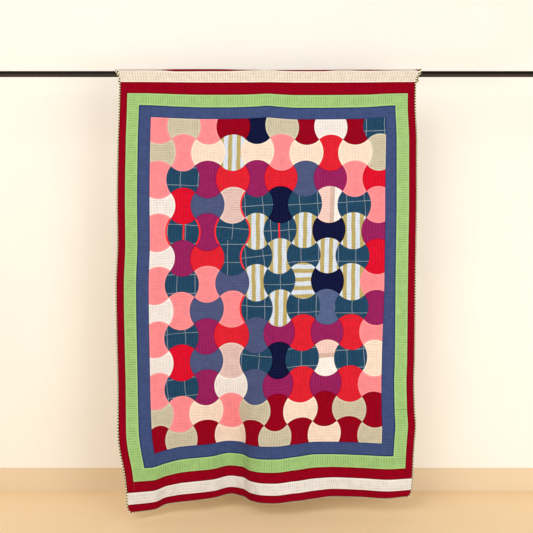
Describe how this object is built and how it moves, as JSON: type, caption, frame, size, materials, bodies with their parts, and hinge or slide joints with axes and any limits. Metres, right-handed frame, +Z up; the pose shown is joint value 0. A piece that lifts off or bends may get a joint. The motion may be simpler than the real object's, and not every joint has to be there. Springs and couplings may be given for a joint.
{
  "type": "ralli quilt on a hanging bar",
  "caption": "Hand-quilted patchwork ralli with striped borders and piped edges, folded over a plain dark bar and hanging down with soft folds at its hem.",
  "frame": {"origin": "middle of the bar's axis", "axes": "+X along the bar to the right of someone who faces the quilt, +Z up, the quilt's front faces -Y"},
  "size_m": [2.7, 0.1781, 2.123],
  "materials": {
    "dark_wood": "satin",
    "patchwork": "matte",
    "blue_cotton": "matte",
    "green_cotton": "matte",
    "maroon_cotton": "matte",
    "cream_cotton": "matte",
    "piping_cotton": "matte"
  },
  "bodies": {
    "root": {"blue_strip_bottom": "blue_cotton", "blue_strip_left": "blue_cotton", "blue_strip_right": "blue_cotton", "blue_strip_top": "blue_cotton", "cream_band_bottom": "cream_cotton", "cream_band_top": "cream_cotton", "end_band_bottom": "maroon_cotton", "end_band_top": "maroon_cotton", "green_strip_bottom": "green_cotton", "green_strip_left": "green_cotton", "green_strip_right": "green_cotton", "green_strip_top": "green_cotton", "hanging_rod": "dark_wood", "maroon_strip_bottom": "maroon_cotton", "maroon_strip_left": "maroon_cotton", "maroon_strip_right": "maroon_cotton", "maroon_strip_top": "maroon_cotton", "patchwork_panel": "patchwork", "striped_piping": "piping_cotton"}
  },
  "joints": []
}
